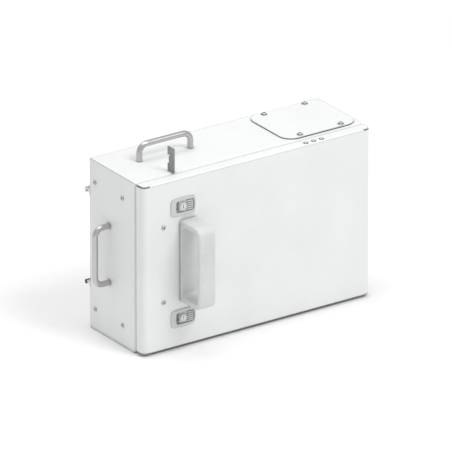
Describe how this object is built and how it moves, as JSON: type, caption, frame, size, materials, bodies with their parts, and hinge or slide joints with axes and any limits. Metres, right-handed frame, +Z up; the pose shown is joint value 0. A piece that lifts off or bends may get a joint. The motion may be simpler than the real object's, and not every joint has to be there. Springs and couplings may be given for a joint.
{
  "type": "battery box",
  "caption": "Portable battery box: sheet-steel case with a hinged front door, slide latches, carrying handles, a service cover and a lithium cell module inside.",
  "frame": {"origin": "centre of the case's flat bottom face", "axes": "+X to the right seen from the door, +Y towards the back panel, +Z up"},
  "size_m": [0.588, 0.285, 0.411],
  "materials": {
    "powder_coat": "fine-textured light grey powder coat",
    "zinc_steel": "zinc-plated sheet steel",
    "stainless_bar": "satin stainless bar",
    "fastener": "stainless screws",
    "handle_plastic": "light grey moulded nylon",
    "black_rubber": "black rubber and rubber-coated steel",
    "latch_cast": "satin grey zinc casting",
    "latch_slider": "satin grey zinc slider",
    "lock_chrome": "bright plated",
    "indicator_lens": "frosted lens",
    "circuit_board": "green board",
    "cell_case": "blue film on aluminium cell cases",
    "insulation": "black glass-filled moulding",
    "aluminium_plate": "milled aluminium",
    "copper_bar": "copper bar",
    "clear_cover": "clear polycarbonate",
    "fuse_body": "ceramic fuse tube",
    "red_cable": "red flexible cable",
    "black_cable": "black flexible cable"
  },
  "bodies": {
    "case": {"body_shell": "powder_coat", "back_panel": "powder_coat", "back_panel_screws": "fastener", "left_wall_hook": "zinc_steel", "right_wall_hook": "zinc_steel", "left_wall_spacer": "zinc_steel", "right_wall_spacer": "zinc_steel", "rubber_pads": "black_rubber", "case_screws": "fastener", "side_handle": "stainless_bar", "top_handle": "stainless_bar", "bar_handle_screws": "fastener", "module_bracket": "powder_coat", "service_cover_gasket": "black_rubber", "service_cover": "powder_coat", "service_cover_screws": "fastener", "service_cover_rivet_nuts": "zinc_steel", "tether_lug": "black_rubber", "upper_hinge_body_leaf": "zinc_steel", "lower_hinge_body_leaf": "zinc_steel", "upper_hinge_pin": "stainless_bar", "lower_hinge_pin": "stainless_bar", "module_tray": "zinc_steel", "battery_cells": "cell_case", "cell_spacers": "insulation", "module_end_plates": "aluminium_plate", "module_bands": "zinc_steel", "busbars": "copper_bar", "busbar_screws": "fastener", "module_cover": "clear_cover", "bms_shelf": "zinc_steel", "bms_unit": "insulation", "bms_heatsink": "aluminium_plate", "contactor": "insulation", "fuse_holder": "insulation", "fuse_link": "fuse_body", "terminal_block": "insulation", "terminal_studs": "fastener", "negative_lead": "black_cable", "positive_lead": "red_cable", "output_lead": "red_cable"},
    "door": {"door_panel": "powder_coat", "door_inner_frame": "powder_coat", "door_gasket": "black_rubber", "door_stiffener": "powder_coat", "door_screws": "fastener", "front_handle": "handle_plastic", "front_handle_screws": "fastener", "led_bezels": "insulation", "led_lenses": "indicator_lens", "led_board": "circuit_board", "upper_hinge_door_leaf": "zinc_steel", "lower_hinge_door_leaf": "zinc_steel", "upper_latch_housing": "latch_cast", "lower_latch_housing": "latch_cast", "latch_clips": "zinc_steel"},
    "upper_slide": {"upper_latch_slide": "latch_slider"},
    "lower_slide": {"lower_latch_slide": "latch_slider"},
    "upper_plug": {"upper_lock_plug": "lock_chrome"},
    "lower_plug": {"lower_lock_plug": "lock_chrome"}
  },
  "joints": [
    {"name": "door_hinge", "type": "hinge", "parent": "case", "child": "door", "pos_m": [0.2745, -0.08, 0.18], "axis": [0, 0, 1], "range_deg": [0, 180]},
    {"name": "upper_latch_slide", "type": "slide", "parent": "door", "child": "upper_slide", "axis": [-1, 0, 0], "range_m": [0, 0.008]},
    {"name": "lower_latch_slide", "type": "slide", "parent": "door", "child": "lower_slide", "axis": [-1, 0, 0], "range_m": [0, 0.008]},
    {"name": "upper_key_turn", "type": "hinge", "parent": "upper_slide", "child": "upper_plug", "pos_m": [-0.177, -0.105, 0.3006], "axis": [0, 1, 0], "range_deg": [0, 90]},
    {"name": "lower_key_turn", "type": "hinge", "parent": "lower_slide", "child": "lower_plug", "pos_m": [-0.177, -0.105, 0.0648], "axis": [0, 1, 0], "range_deg": [0, 90]}
  ]
}
